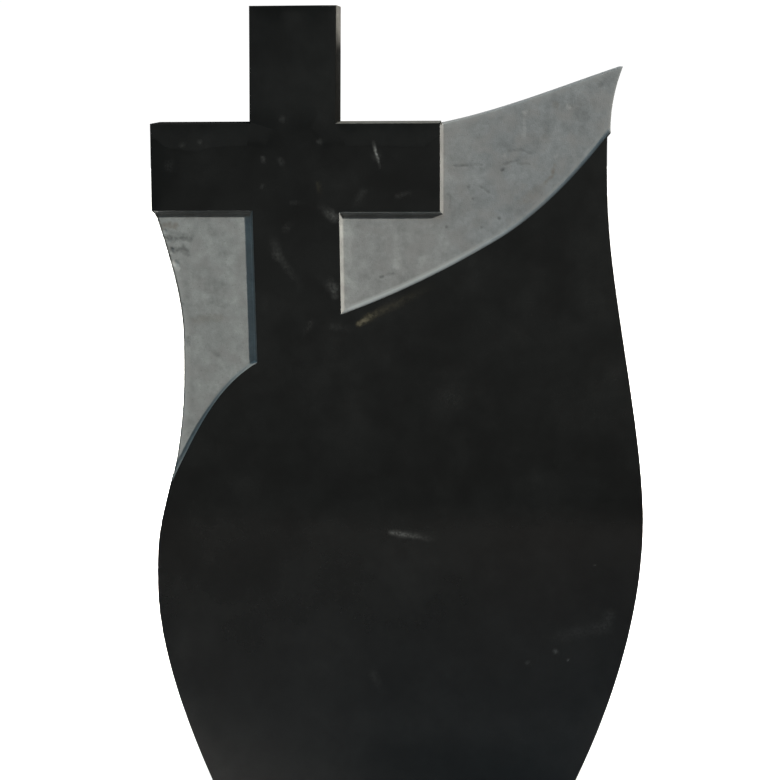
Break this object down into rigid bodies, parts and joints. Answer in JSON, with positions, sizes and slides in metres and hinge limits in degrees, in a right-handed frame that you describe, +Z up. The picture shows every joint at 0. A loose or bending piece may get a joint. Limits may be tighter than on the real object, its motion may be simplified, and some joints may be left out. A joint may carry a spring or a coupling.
{
  "type": "headstone",
  "caption": "Black granite headstone slab with a raised Latin cross, a vase-shaped polished body and matt recessed panels, one sweeping up into a pointed wing.",
  "frame": {"origin": "middle of the slab's box on the plane of its foot, halfway through its thickness", "axes": "+Z up, +X to the right as seen from the front, and the polished front faces -Y"},
  "size_m": [0.6014, 0.065, 1],
  "materials": {
    "black_granite": "mirror-polished front and flanks, with the sides of the cross and all small arrises rubbed down dull; the panels beside the cross are cut back to a matt mid grey, and the back and the foot are left sawn"
  },
  "bodies": {
    "root": {"headstone_slab": "black_granite"}
  },
  "joints": []
}
